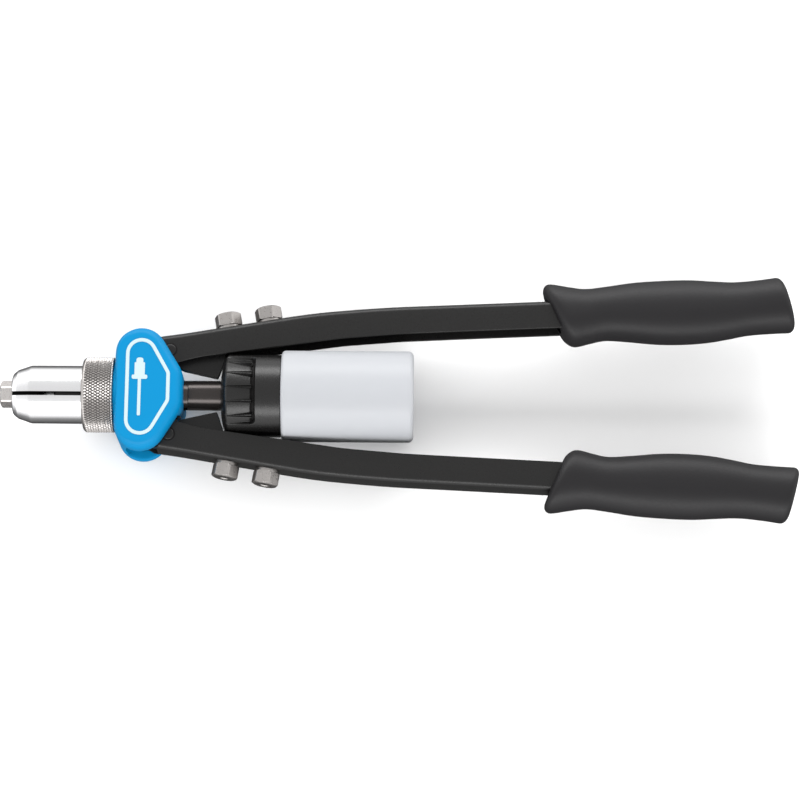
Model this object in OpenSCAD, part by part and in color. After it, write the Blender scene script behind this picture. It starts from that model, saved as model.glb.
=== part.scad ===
// Long-arm hand riveter: a two-handed tool that pulls a blind rivet's mandrel.
// Frame: origin at the centre of the fitted nosepiece's front face, +X along the tool's axis towards
// the handles, +Y towards the upper arm, +Z out of the front cover. Millimetres.
// Drive: each arm carries a toothed lever that turns an idler pinion, and the two pinions move the
// racks of the pull bar, so closing the arms draws the pull bar back.

/* [Nose] */
// Width across flats of a nosepiece
hex_af = 13; // [10:0.5:16]
// Bore of the fitted nosepiece
fitted_bore = 3.1; // [1.8:0.1:5]
// Length of the hexagon in front of the sleeve
hex_length = 6.7; // [5:0.1:10]
// Radius of the nose sleeve
sleeve_radius = 15.6; // [14:0.1:18]
// Width of the sleeve's slit
slit_width = 2.15; // [1:0.05:4]
// Direction of the slit, from +Z towards -Y
slit_angle = 11; // [0:1:90]
// Radius of the knurled ring
ring_radius = 20.25; // [19:0.05:22]

/* [Head] */
// Distance of each arm's pivot behind the nosepiece's face
pivot_x = 77; // [74:0.5:80]
// Distance of each arm's pivot from the tool's axis
pivot_y = 20.5; // [20:0.1:22]
// Radius of the pivot pins
pivot_pin_radius = 3.2; // [2.5:0.1:4]
// Height of the cover's flat panel above the mid plane
cover_height = 20; // [19:0.5:22]
// Wall thickness of the covers
cover_wall = 2.2; // [1.5:0.1:3]

/* [Gearing] */
// Gear module
gear_module = 1.25; // [1:0.05:1.5]
// Pressure angle
pressure_angle = 25; // [20:1:28]
// Addendum of every tooth
addendum = 0.85; // [0.7:0.05:1]
// Dedendum of every tooth
dedendum = 1.2; // [1:0.05:1.5]
// Backlash, as the thickness taken off each tooth
backlash = 0.2; // [0.1:0.05:0.4]
// Teeth of an idler pinion
idler_teeth = 8; // [8:1:10]

/* [Arms] */
// Depth of the arm's channel section
channel_depth = 18; // [16:0.5:20]
// Thickness of the arm's sheet
sheet = 1.6; // [1.2:0.1:2.5]
// Thickness of the lever plate
lever_thickness = 5; // [4:0.1:5]
// Thickness of the grip
grip_depth = 28; // [24:1:32]

/* [Collector] */
// Radius of the cap
cap_radius = 22.2; // [21:0.1:23]
// Radius of the bottle
bottle_radius = 24.6; // [23:0.1:25]
// Rear end of the bottle
bottle_end = 221.9; // [200:0.1:240]
// Wall thickness of the bottle
bottle_wall = 1.8; // [1:0.1:2.5]

/* [Hidden] */
$fn = 64;
SIDES = [1, -1];
EPS = 0.01;

// Nose and lock ring
NOSE_TURN = 13.5;
THREAD_R = 5;
THREAD_END = 16;
NOSE_TAIL_END = 18;
SLEEVE_END = 55;
RING_X0 = 44.8;
RING_X1 = 61.5;
FLANGE_R = 17;
FLANGE_X = 51.5;

// Head
NECK_R = 17.2;
NECK_END = 64.9;
BARREL_R = 13.6;
BARREL_END = 97;
CASE_BORE_R = 10.8;
CASE_BORE_END = 68;
BAR_R = 8;
GUIDE_R = BAR_R + 0.06;
EAR_TOP = channel_depth / 2 - sheet - 0.1;
EAR_SLOT = lever_thickness / 2 + 0.2;
EAR_R = 7.6;
PIVOTS = [for (s = SIDES) [pivot_x, s * pivot_y]];
COVER_X0 = 62.5;
COVER_X1 = 98.8;
COVER_LOBE = [76.2, 19.7];
COVER_LOBE_R = COVER_LOBE[0] - COVER_X0;
COVER_SILL = 5;
COVER_GAP = 9.9;
COLLAR_R = 19.3;
BOSS = [66.3, 18];
BOSS_R = 2.4;
BARREL_SCREW_X = 88;
RIVET_SIGN = [[75.2, -16, 1.7, 20.1], [71.9, 4, 8.3, 2.3], [73.3, 6.2, 5.5, 7], [74.2, 13.1, 3.7, 2.6]];

// Gearing
PITCH = PI * gear_module;
RACK_Y = BAR_R - addendum;
IDLER_R = gear_module * idler_teeth / 2;
IDLER_X = 87.5;
IDLER_Y = RACK_Y + IDLER_R;
IDLER_PIN_R = 2;
CENTRES = norm([pivot_x - IDLER_X, pivot_y - IDLER_Y]);
SECTOR_R = CENTRES - IDLER_R;
LINE = atan2(pivot_y - IDLER_Y, pivot_x - IDLER_X);
IDLER_STEP = 360 / idler_teeth;
NEAREST = -90 + IDLER_STEP * round((LINE + 90) / IDLER_STEP);
SECTOR_STEP = PITCH / SECTOR_R * 180 / PI;
SECTOR_GAP = LINE - 180 - (NEAREST - LINE) * IDLER_R / SECTOR_R;

// Arms
FLANGE_Z = channel_depth / 2 - sheet;
ARM_END = 408;
FRONT_R = 8.4;
WEB = [[85, 31], [99, 33], [114, 35.6], [128, 38], [150, 41.8], [161, 43.6], [172, 45.1],
       [182, 46.1], [193, 47.1], [204, 47.9], [214, 48.6], [247, 50.1], [ARM_END, 57.6]];
FRONT_EDGE = [[82.6, 30.4], [79.7, 28.45]];
INNER_EDGE = [[79.5, 12.5], [86, 13.6], [95, 16.5], [104, 19], [118, 20.9], [140, 24], [182, 30.2],
              [214.5, 33], [247, 34.6], [ARM_END, 42.1]];
RIVET = [91.1, 23.2];
RIVET_R = 2.4;
SPARE_X = [122.3, 143.9];
SPARE_Y = [37.02, 40.75];
WEB_TILT = 9.7;
SPARE_BORES = [2.0, 2.4, 3.8, 4.1];
SPARE_STANDOFF = 1.5;
SPARE_HEX = 6.9;

// Grips: stations of [x, y, width]
GRIP = [[288, 45.8, 34.4], [303, 46, 34.4], [320, 46.6, 28.4], [334, 47.1, 30.8], [347, 47.5, 33.8],
        [362, 48.1, 35], [376, 48.9, 34.4], [388, 49.6, 31.8], [399, 50.5, 29.4], [411, 51.6, 29.4],
        [434, 53.8, 31.8]];
// Cuts of the two ends: distance along X at the arm's height, and slant
GRIP_FRONT = [298.2, 23];
GRIP_REAR = [425.4, 14.5];

// Pull unit
CASE_X0 = 29.5;
CASE_X1 = 66;
CASE_R = 10.6;
MANDREL_R = 3.2;
JAW_X0 = 30.5;
JAW_X1 = 45;
TUBE_X0 = 101;
TUBE_X1 = 128;
CAP_X0 = 118.6;
CAP_X1 = 151;
NECK_SEAT = 141;
BOTTLE_NECK_R = 20.2;
WINDOW_X0 = 121.6;
WINDOW_X1 = 137;
POCKETS = [[-51, 4], [-32.2, 6.4], [-10.7, 6.4], [10.7, 6.4], [32.2, 6.4], [51, 4]];

// Colours
STEEL = [0.72, 0.73, 0.75];
DARK = [0.12, 0.12, 0.13];
BLUE = [0.05, 0.5, 0.8];
WHITE = [0.95, 0.95, 0.95];
RUBBER = [0.16, 0.16, 0.17];
CLEAR = [0.9, 0.92, 0.93];

// Helpers

// Turns a profile of [radius, x] points about the tool's axis
module turned(points) {
    rotate([0, 90, 0])
        rotate_extrude()
            polygon(points);
}

// Round bar along X from x0 to x1
module bar(r, x0, x1) {
    translate([x0, 0, 0])
        rotate([0, 90, 0])
            cylinder(r = r, h = x1 - x0);
}

// Upright pin at a point of the mid plane, from z0 to z1
module post(p, r, z0, z1) {
    translate([p[0], p[1], z0])
        cylinder(r = r, h = z1 - z0);
}

// Plate of even thickness about the mid plane
module plate(half) {
    translate([0, 0, -half])
        linear_extrude(2 * half)
            children();
}

// The layers between two heights, above and below the mid plane
module both_layers(z0, z1) {
    for (z = [z0, -z1])
        translate([0, 0, z])
            linear_extrude(z1 - z0)
                children();
}

// The lower side is the upper side mirrored
module side(s) {
    mirror([0, s < 0 ? 1 : 0, 0])
        children();
}

function shifted(points, dy) = [for (p = points) [p[0], p[1] + dy]];
function reversed(points) = [for (i = [len(points) - 1:-1:0]) points[i]];

// Gear teeth

function involute(a) = tan(a) * 180 / PI - a;

// Half angle of a tooth at radius q, on a gear of pitch radius r
function half_angle(r, q) =
    (PITCH - backlash) / (4 * r) * 180 / PI + involute(pressure_angle)
    - involute(acos(min(1, r * cos(pressure_angle) / q)));

module tooth(r) {
    base = max(r * cos(pressure_angle), r - dedendum);
    tip = r + addendum;
    steps = 5;
    radii = [for (i = [0:steps]) base + (tip - base) * i / steps];
    foot = r - dedendum - 0.4;
    right = [for (q = radii) q * [cos(half_angle(r, q)), -sin(half_angle(r, q))]];
    left = [for (q = reversed(radii)) q * [cos(half_angle(r, q)), sin(half_angle(r, q))]];
    a = half_angle(r, base);
    polygon(concat([foot * [cos(a), -sin(a)]], right, left, [foot * [cos(a), sin(a)]]));
}

module teeth(r, angles) {
    for (a = angles)
        rotate(a)
            tooth(r);
}

// Gaps of one rack, cut into the bar's side
module rack_gaps() {
    slope = tan(pressure_angle);
    half = (PITCH + backlash) / 4;
    for (k = [-1:3])
        translate([IDLER_X + k * PITCH, RACK_Y])
            polygon([[-half + dedendum * slope, -dedendum], [half - dedendum * slope, -dedendum],
                     [half + 2 * slope, 2], [-half - 2 * slope, 2]]);
}

// Nose

module nose_hex(af, x0, x1) {
    r = af / sqrt(3);
    intersection() {
        translate([x0, 0, 0])
            rotate([0, 90, 0])
                cylinder(r = r, h = x1 - x0, $fn = 6);
        turned([[0, x0], [r - 1, x0], [r + 0.2, x0 + 1.2], [r + 0.2, x1 + EPS], [0, x1 + EPS]]);
    }
}

// Nosepiece with its front face at x = 0 and its thread behind the hexagon
module nosepiece_body(bore, stand, hex_h, tail) {
    difference() {
        union() {
            nose_hex(hex_af, 0, hex_h);
            bar(THREAD_R + 1, hex_h - EPS, hex_h + stand);
            bar(THREAD_R, hex_h + stand - EPS, hex_h + stand + 9.3);
            turned([[0, hex_h + stand + 9], [3.9, hex_h + stand + 9], [3.9, hex_h + stand + 9.3],
                    [3.3, tail], [0, tail]]);
        }
        bar(bore / 2, -1, tail + 1);
    }
}

module nosepiece() {
    color(STEEL)
        rotate([NOSE_TURN, 0, 0])
            nosepiece_body(fitted_bore, 0, hex_length, NOSE_TAIL_END);
}

module nose_sleeve() {
    color(STEEL)
        difference() {
            turned([[THREAD_R, hex_length], [9.6, hex_length], [11.6, 7.2], [12.8, 8.6],
                    [sleeve_radius, 16.7], [sleeve_radius, FLANGE_X], [FLANGE_R, FLANGE_X],
                    [FLANGE_R, SLEEVE_END], [11.2, SLEEVE_END], [11.2, 21], [THREAD_R + 0.6, THREAD_END],
                    [THREAD_R, THREAD_END]]);
            rotate([slit_angle, 0, 0])
                translate([hex_length - 1, -slit_width / 2, 7.6])
                    cube([RING_X0 - hex_length + 3, slit_width, 12]);
        }
}

module knurled_ring() {
    color(STEEL)
        turned([[sleeve_radius + 0.08, RING_X0], [ring_radius - 1.2, RING_X0],
                [ring_radius - 0.4, RING_X0 + 0.5], [ring_radius - 0.4, RING_X0 + 1.6],
                [ring_radius, RING_X0 + 2], [ring_radius, RING_X1 - 2],
                [ring_radius - 0.4, RING_X1 - 1.6], [ring_radius - 0.4, RING_X1 - 0.5],
                [ring_radius - 0.9, RING_X1], [NECK_R + 0.15, RING_X1], [NECK_R + 0.15, FLANGE_X - 0.1],
                [sleeve_radius + 0.08, FLANGE_X - 0.1]]);
}

// Head

module ear_outline(s) {
    translate([pivot_x, s * pivot_y])
        circle(EAR_R);
    translate([IDLER_X, s * IDLER_Y])
        circle(IDLER_R);
    polygon([[68, s * 8], [69.6, s * 18.8], [pivot_x, s * (pivot_y + EAR_R)], [84, s * 23],
             [92.3, s * 13.4], [92.3, s * 8]]);
}

module head_block() {
    color(STEEL)
        difference() {
            union() {
                bar(NECK_R, SLEEVE_END, NECK_END);
                bar(BARREL_R, NECK_END - EPS, 94.8);
                bar(12.2, 94.8 - EPS, BARREL_END);
                for (s = SIDES)
                    plate(EAR_TOP)
                        ear_outline(s);
            }
            bar(CASE_BORE_R, SLEEVE_END - 1, CASE_BORE_END);
            bar(GUIDE_R, CASE_BORE_END - 1, BARREL_END + 1);
            for (s = SIDES) {
                translate([67, s > 0 ? 6 : -36, -EAR_SLOT])
                    cube([27.8, 30, 2 * EAR_SLOT]);
                post([pivot_x, s * pivot_y], pivot_pin_radius + 0.02, -12, 12);
                post([IDLER_X, s * IDLER_Y], IDLER_PIN_R + 0.02, -12, 12);
            }
            post([BARREL_SCREW_X, 0], 1.25, -16, -8.5);
        }
}

// Outline of a cover, drawn in by d
module cover_outline(d) {
    for (s = SIDES)
        translate([COVER_LOBE[0], s * COVER_LOBE[1]])
            circle(COVER_LOBE_R - d);
    polygon([[COVER_X0 + d, -COVER_LOBE[1]], [COVER_X0 + d, COVER_LOBE[1]],
             COVER_LOBE + [0, COVER_LOBE_R - d], [87.7 - d * 0.8, 27 - d * 0.6], [98 - d, 10.4 - d / 3],
             [COVER_X1 - d, 8 - d / 3], [COVER_X1 - d, -8 + d / 3], [98 - d, -10.4 + d / 3],
             [87.7 - d * 0.8, -27 + d * 0.6], [COVER_LOBE[0], -COVER_LOBE[1] - COVER_LOBE_R + d]]);
}

// Domed block of the cover's shape, its rim rounded in steps
module cover_block(d) {
    hull() {
        linear_extrude(14.3 - d)
            cover_outline(d);
        translate([0, 0, 11])
            linear_extrude(6 - d)
                cover_outline(d + 0.8);
        translate([0, 0, 11])
            linear_extrude(8 - d)
                cover_outline(d + 2.3);
        translate([0, 0, 11])
            linear_extrude(cover_height - 11 - d)
                cover_outline(d + 5);
    }
}

// One cover: hollow and open at the mid plane, thick at its edge, its sides cut away for the arms
module cover_shell() {
    difference() {
        union() {
            difference() {
                cover_block(0);
                intersection() {
                    translate([0, 0, -EPS])
                        cover_block(cover_wall);
                    translate([0, 0, -1])
                        linear_extrude(cover_height)
                            cover_outline(COVER_SILL);
                }
            }
            intersection() {
                union() {
                    bar(COLLAR_R, RING_X1 + 0.1, COVER_X0 + 2);
                    for (s = SIDES)
                        post([BOSS[0], s * BOSS[1]], BOSS_R, 0, 17.9);
                }
                translate([50, -50, 0])
                    cube([60, 100, 60]);
            }
        }
        for (s = SIDES)
            translate([68.5, s > 0 ? 12.4 : -50, -1])
                cube([50, 37.6, COVER_GAP + 1]);
        bar(NECK_R + 0.1, RING_X1 - 1, NECK_END + 0.1);
        bar(BARREL_R + 0.1, NECK_END, 95);
        bar(12.3, 90, BARREL_END + 0.1);
        bar(BAR_R + 0.4, 90, COVER_X1 + 2);
    }
}

module front_cover() {
    color(BLUE)
        difference() {
            cover_shell();
            for (s = SIDES)
                post([BOSS[0], s * BOSS[1]], 1.26, -1, 9);
            badge_shape(0.6, 0.02);
        }
}

module rear_cover() {
    color(BLUE)
        difference() {
            mirror([0, 0, 1])
                cover_shell();
            for (s = SIDES) {
                post([BOSS[0], s * BOSS[1]], 1.55, -30, 1);
                post([BOSS[0], s * BOSS[1]], 2.9, -30, -15.8);
            }
            post([BARREL_SCREW_X, 0], 1.55, -30, -8);
            post([BARREL_SCREW_X, 0], 2.9, -30, -19);
        }
}

// Raised outline on the panel, with a plain rivet sign inside it
module badge_outline(d) {
    polygon([[68.5 + d, -22 + d / 2], [68.5 + d, 22 - d / 2], [72, 25.8 - d], [76.9, 26.5 - d],
             [81.5, 25 - d], [84.6 - d * 0.7, 22 - d * 0.6], [92.2 - d, 8 - d / 3], [92.2 - d, -8 + d / 3],
             [84.6 - d * 0.7, -22 + d * 0.6], [81.5, -25 + d], [76.9, -26.5 + d], [72, -25.8 + d]]);
}

module badge_shape(h, grow) {
    translate([0, 0, cover_height - h])
        linear_extrude(h + 1) {
            difference() {
                badge_outline(-grow);
                badge_outline(1.9 + grow);
            }
            for (b = RIVET_SIGN)
                translate([b[0] - grow, b[1] - grow])
                    square([b[2] + 2 * grow, b[3] + 2 * grow]);
        }
}

module front_badge() {
    color(WHITE)
        intersection() {
            badge_shape(0.6, 0);
            translate([50, -50, 0])
                cube([100, 100, cover_height + 0.35]);
        }
}

module pan_screw(p, z_head, z_tip, r) {
    difference() {
        union() {
            post(p, 2.7, z_head - 1.6, z_head);
            post(p, r, z_head - EPS, z_tip);
        }
        post(p, 1.2, z_head - 3, z_head - 0.7, $fn = 6);
    }
}

module cover_screws() {
    color(DARK) {
        for (s = SIDES)
            pan_screw([BOSS[0], s * BOSS[1]], -15.8, 8, 1.2);
        pan_screw([BARREL_SCREW_X, 0], -19, -9, 1.2);
    }
}

// Pins

module pivot_pin(s) {
    p = [pivot_x, s * pivot_y];
    color(STEEL)
        difference() {
            union() {
                post(p, pivot_pin_radius, -11.2, 10);
                post(p, 5.2, channel_depth / 2 + 0.1, channel_depth / 2 + 2);
            }
            difference() {
                post(p, 4, -10.4, -9.5);
                post(p, 2.3, -10.4, -9.5);
            }
        }
}

module upper_pivot_pin() {
    pivot_pin(1);
}

module lower_pivot_pin() {
    pivot_pin(-1);
}

module pivot_clips() {
    color(DARK)
        for (p = PIVOTS)
            difference() {
                post(p, 5.2, -10.35, -9.55);
                post(p, 2.35, -11, -9);
                translate([p[0] + 1, p[1] - 1.6, -11])
                    cube([6, 3.2, 2]);
            }
}

module idler_pins() {
    color(STEEL)
        for (s = SIDES)
            post([IDLER_X, s * IDLER_Y], IDLER_PIN_R, -EAR_TOP, EAR_TOP);
}

module idler() {
    color(STEEL)
        plate(lever_thickness / 2)
            translate([IDLER_X, IDLER_Y])
                difference() {
                    union() {
                        circle(IDLER_R - dedendum);
                        teeth(IDLER_R, [for (k = [0:idler_teeth - 1]) -90 + k * IDLER_STEP]);
                    }
                    circle(IDLER_PIN_R + 0.05);
                }
}

module upper_idler() {
    idler();
}

module lower_idler() {
    side(-1)
        idler();
}

// Arms

module arm_outline() {
    translate(PIVOTS[0])
        circle(FRONT_R);
    polygon(concat(FRONT_EDGE, [PIVOTS[0] + FRONT_R * [-0.5, 0.866], PIVOTS[0] + FRONT_R * [-0.5, -0.866]],
                   INNER_EDGE, reversed(WEB)));
}

module spare_place(i) {
    translate([SPARE_X[i], SPARE_Y[i], 0])
        rotate([0, 0, WEB_TILT])
            rotate([0, 0, -90])
                children();
}

// Channel open towards the tool's axis, with two threaded bosses for the spare nosepieces
module arm_channel() {
    cut = concat([[60, 0], [60, 40], [84.9, 40], [84.9, WEB[0][1] - sheet]],
                 shifted(WEB, -sheet), [[ARM_END + 5, 56], [ARM_END + 5, 0]]);
    color(DARK)
        difference() {
            union() {
                difference() {
                    plate(channel_depth / 2)
                        arm_outline();
                    plate(FLANGE_Z)
                        polygon(cut);
                }
                for (i = [0, 1])
                    spare_place(i)
                        bar(7.2, 0.8, 6.5);
            }
            for (i = [0, 1])
                spare_place(i)
                    bar(THREAD_R + 0.02, -3, 9);
            post(PIVOTS[0], pivot_pin_radius + 0.05, -12, 12);
            post(RIVET, RIVET_R, -12, 12);
        }
}

module lever_outline() {
    circle_root = SECTOR_R - dedendum;
    translate(PIVOTS[0]) {
        circle(circle_root);
        teeth(SECTOR_R, [for (k = [-0.5:1:2.5]) SECTOR_GAP - k * SECTOR_STEP]);
    }
    polygon([[pivot_x, pivot_y + circle_root], [pivot_x, pivot_y], [84, 19.1], [88, 18.8], [92, 17.1],
             [98, 13.7], [116.1, 9.6], [116.6, 9.9], [117.9, 13], [119.1, 16.7], [120.4, 20.5],
             [120.4, 24.5], [118.3, 26.2], [115.6, 28], [113.8, 30], [113.8, 33.8], [99, 31.3], [86, 29.4]]);
}

module lever() {
    color(DARK)
        difference() {
            plate(lever_thickness / 2)
                lever_outline();
            post(PIVOTS[0], pivot_pin_radius + 0.05, -12, 12);
            post(RIVET, RIVET_R, -12, 12);
        }
}

module rivet() {
    color(STEEL) {
        post(RIVET, RIVET_R, -channel_depth / 2 - 0.1, channel_depth / 2 + 0.1);
        for (z = [channel_depth / 2, -channel_depth / 2 - 0.7])
            post(RIVET, 3.4, z, z + 0.7);
    }
}

module spacers() {
    color(STEEL)
        both_layers(lever_thickness / 2, FLANGE_Z)
            translate(RIVET)
                difference() {
                    circle(4.6);
                    circle(RIVET_R);
                }
}

module spare(i, bore) {
    color(STEEL)
        spare_place(i)
            translate([-SPARE_STANDOFF - SPARE_HEX, 0, 0])
                rotate([12, 0, 0])
                    nosepiece_body(bore, SPARE_STANDOFF, SPARE_HEX, SPARE_HEX + SPARE_STANDOFF + 11);
}

// Grip: rounded body with a necked front and rear, cut at a slant, and a pocket for the channel
module grip_station(p) {
    translate([p[0], p[1], 0])
        rotate([0, 90, 0])
            linear_extrude(0.05)
                scale([grip_depth, p[2]])
                    circle(d = 1, $fn = 40);
}

module slant_cut(end, direction) {
    translate([end[0], 48, 0])
        rotate([0, 0, end[1]])
            translate([direction > 0 ? 0 : -60, -60, -30])
                cube([60, 120, 60]);
}

module grip() {
    color(RUBBER)
        difference() {
            for (i = [0:len(GRIP) - 2])
                hull() {
                    grip_station(GRIP[i]);
                    grip_station(GRIP[i + 1]);
                }
            slant_cut(GRIP_FRONT, -1);
            slant_cut(GRIP_REAR, 1);
            translate([0, 0, -channel_depth / 2])
                linear_extrude(channel_depth)
                    polygon([[280, 51.66], [ARM_END + 0.05, 57.63], [ARM_END + 0.05, 42.07], [280, 36.1]]);
        }
}

module upper_arm_channel() {
    arm_channel();
}

module upper_lever() {
    lever();
}

module upper_rivet() {
    rivet();
}

module upper_spacers() {
    spacers();
}

module upper_grip() {
    grip();
}

module upper_spare_front() {
    spare(0, SPARE_BORES[0]);
}

module upper_spare_rear() {
    spare(1, SPARE_BORES[1]);
}

module lower_arm_channel() {
    side(-1)
        arm_channel();
}

module lower_lever() {
    side(-1)
        lever();
}

module lower_rivet() {
    side(-1)
        rivet();
}

module lower_spacers() {
    side(-1)
        spacers();
}

module lower_grip() {
    side(-1)
        grip();
}

module lower_spare_front() {
    side(-1)
        spare(0, SPARE_BORES[2]);
}

module lower_spare_rear() {
    side(-1)
        spare(1, SPARE_BORES[3]);
}

// Pull unit

module jaw_case() {
    color(STEEL)
        turned([[4.6, CASE_X0], [9.4, CASE_X0], [CASE_R, CASE_X0 + 1.2], [CASE_R, CASE_X1],
                [6.02, CASE_X1], [6.02, 56], [8.6, 56], [8.6, 45.5]]);
}

// One of three wedge jaws round the mandrel
module jaw(k) {
    color(STEEL)
        rotate([k * 120, 0, 0])
            difference() {
                turned([[1.3, JAW_X0], [4.55, JAW_X0], [8.2, JAW_X1 - 0.2], [8.2, JAW_X1], [5, JAW_X1],
                        [1.3, JAW_X1 - 5]]);
                for (a = [-59, 59])
                    rotate([a, 0, 0])
                        translate([JAW_X0 - 1, a > 0 ? 0 : -20, -20])
                            cube([JAW_X1 - JAW_X0 + 2, 20, 40]);
            }
}

module jaw_1() {
    jaw(0);
}

module jaw_2() {
    jaw(1);
}

module jaw_3() {
    jaw(2);
}

module jaw_pusher() {
    color(STEEL)
        turned([[2.3, JAW_X1 - 2], [3.2, JAW_X1 - 2], [4.7, JAW_X1 + 0.1], [6.6, JAW_X1 + 0.1],
                [6.6, JAW_X1 + 2], [4.6, JAW_X1 + 2], [4.6, 51.5], [2.3, 51.5]]);
}

module jaw_spring() {
    wire = 0.55;
    color(DARK)
        translate([JAW_X1 + 2.6, 0, 0])
            rotate([0, 90, 0])
                linear_extrude(height = 7.4, twist = -360 * 4, slices = 64, segments = 0)
                    translate([5.9, 0])
                        scale([1, 1.6])
                            circle(wire, $fn = 8);
}

module pull_bar() {
    color(STEEL)
        difference() {
            union() {
                bar(6, 56, CASE_X1 + 1);
                bar(BAR_R, CASE_X1 + 0.1, TUBE_X0);
                bar(5.5, TUBE_X0 - 1, 112);
            }
            bar(MANDREL_R, 50, 120);
            for (s = SIDES)
                plate(lever_thickness / 2 + 0.2)
                    scale([1, s])
                        rack_gaps();
        }
}

module pull_tube() {
    color(DARK)
        difference() {
            bar(BAR_R, TUBE_X0, TUBE_X1);
            bar(5.52, TUBE_X0 - 1, 112.1);
            bar(MANDREL_R, 110, TUBE_X1 + 1);
        }
}

module tube_locknut() {
    color(STEEL)
        difference() {
            translate([124.1, 0, 0])
                rotate([0, 90, 0])
                    cylinder(r = 13 / cos(30), h = 3.6, $fn = 6);
            bar(BAR_R + 0.02, 120, 130);
        }
}

// Cap: grip windows with tapered ribs front and back, and a seat for the bottle's neck
module collector_cap() {
    color(DARK)
        difference() {
            turned([[BAR_R + 0.02, CAP_X0], [9, CAP_X0], [12.5, CAP_X0 + 0.3], [16, CAP_X0 + 1],
                    [18.6, CAP_X0 + 1.8], [cap_radius - 1.6, CAP_X0 + 2.7], [cap_radius - 0.5, CAP_X0 + 3.5],
                    [cap_radius, CAP_X0 + 4.4], [cap_radius, CAP_X1], [20.4, CAP_X1], [20.4, NECK_SEAT],
                    [19, NECK_SEAT], [19, 124], [BAR_R + 0.02, 124]]);
            for (turn = [0, 180])
                for (k = [0:len(POCKETS) - 1])
                    rotate([turn + POCKETS[k][0], 0, 0])
                        translate([WINDOW_X0, -POCKETS[k][1] / 2, cap_radius - 0.5])
                            rotate([0, 6, 0])
                                cube([WINDOW_X1 - WINDOW_X0, POCKETS[k][1], 4]);
            turned([[19.99, 146.6], [21.3, 146.6], [21.3, 148.8], [19.99, 148.8]]);
        }
}

module seal_ring() {
    color(RUBBER)
        rotate([0, 90, 0])
            rotate_extrude()
                translate([20.75, 147.7])
                    circle(0.52, $fn = 20);
}

// Bottle for the spent mandrels, pushed into the cap
module collector_bottle() {
    inner = bottle_radius - bottle_wall;
    color(CLEAR)
        turned([[BOTTLE_NECK_R - 1.6, NECK_SEAT + 0.3], [BOTTLE_NECK_R, NECK_SEAT + 0.3],
                [BOTTLE_NECK_R, CAP_X1 + 0.1], [bottle_radius - 2.7, CAP_X1 + 0.1],
                [bottle_radius - 0.8, CAP_X1 + 0.9], [bottle_radius, CAP_X1 + 2.8],
                [bottle_radius, bottle_end - 2.8], [bottle_radius - 0.8, bottle_end - 0.8],
                [bottle_radius - 2.8, bottle_end], [0, bottle_end], [0, bottle_end - bottle_wall],
                [inner - 1.5, bottle_end - bottle_wall], [inner, bottle_end - bottle_wall - 1.5],
                [inner, CAP_X1 + 3], [inner - 1.2, CAP_X1 + 1.9], [BOTTLE_NECK_R - 1.6, CAP_X1 + 1.9]]);
}

nosepiece();
nose_sleeve();
knurled_ring();
head_block();
front_cover();
rear_cover();
front_badge();
cover_screws();
upper_pivot_pin();
lower_pivot_pin();
pivot_clips();
idler_pins();
upper_idler();
lower_idler();
upper_arm_channel();
upper_lever();
upper_rivet();
upper_spacers();
upper_grip();
upper_spare_front();
upper_spare_rear();
lower_arm_channel();
lower_lever();
lower_rivet();
lower_spacers();
lower_grip();
lower_spare_front();
lower_spare_rear();
jaw_case();
jaw_1();
jaw_2();
jaw_3();
jaw_pusher();
jaw_spring();
pull_bar();
pull_tube();
tube_locknut();
collector_cap();
seal_ring();
collector_bottle();
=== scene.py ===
import math

import bmesh
import bpy
from mathutils import Matrix, Vector


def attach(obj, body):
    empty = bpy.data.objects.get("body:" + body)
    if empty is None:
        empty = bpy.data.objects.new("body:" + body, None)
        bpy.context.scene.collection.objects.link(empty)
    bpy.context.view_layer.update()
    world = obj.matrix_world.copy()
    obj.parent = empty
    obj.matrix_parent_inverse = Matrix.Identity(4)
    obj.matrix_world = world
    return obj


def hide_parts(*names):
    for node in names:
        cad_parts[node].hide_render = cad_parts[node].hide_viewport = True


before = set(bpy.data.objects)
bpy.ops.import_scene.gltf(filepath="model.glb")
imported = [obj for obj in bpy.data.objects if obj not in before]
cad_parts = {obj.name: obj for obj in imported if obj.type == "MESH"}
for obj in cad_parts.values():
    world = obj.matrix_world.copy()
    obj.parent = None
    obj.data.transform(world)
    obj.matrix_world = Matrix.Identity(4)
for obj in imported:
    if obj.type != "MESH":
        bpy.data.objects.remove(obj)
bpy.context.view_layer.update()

# Frame: +X from the nose to the handles, +Y to the upper arm, +Z out of the front cover.
# Shapes are worked out in millimetres and stored in metres.
MM = 0.001
TAU = math.tau


# ---------------------------------------------------------------- materials

def srgb(*c):
    """Linear colour, with alpha, of an sRGB one."""
    return tuple((v / 12.92 if v <= 0.04045 else ((v + 0.055) / 1.055) ** 2.4) for v in c) + (1.0,)


def noise(tree, vector, scale, detail):
    """Noise texture read along a vector output."""
    node = tree.nodes.new("ShaderNodeTexNoise")
    node.inputs["Scale"].default_value = scale
    node.inputs["Detail"].default_value = detail
    tree.links.new(vector, node.inputs["Vector"])
    return node


def bump_node(tree, height, strength, distance):
    """Bump from a noise texture."""
    node = tree.nodes.new("ShaderNodeBump")
    node.inputs["Strength"].default_value = strength
    node.inputs["Distance"].default_value = distance
    tree.links.new(height.outputs["Fac"], node.inputs["Height"])
    return node


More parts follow.
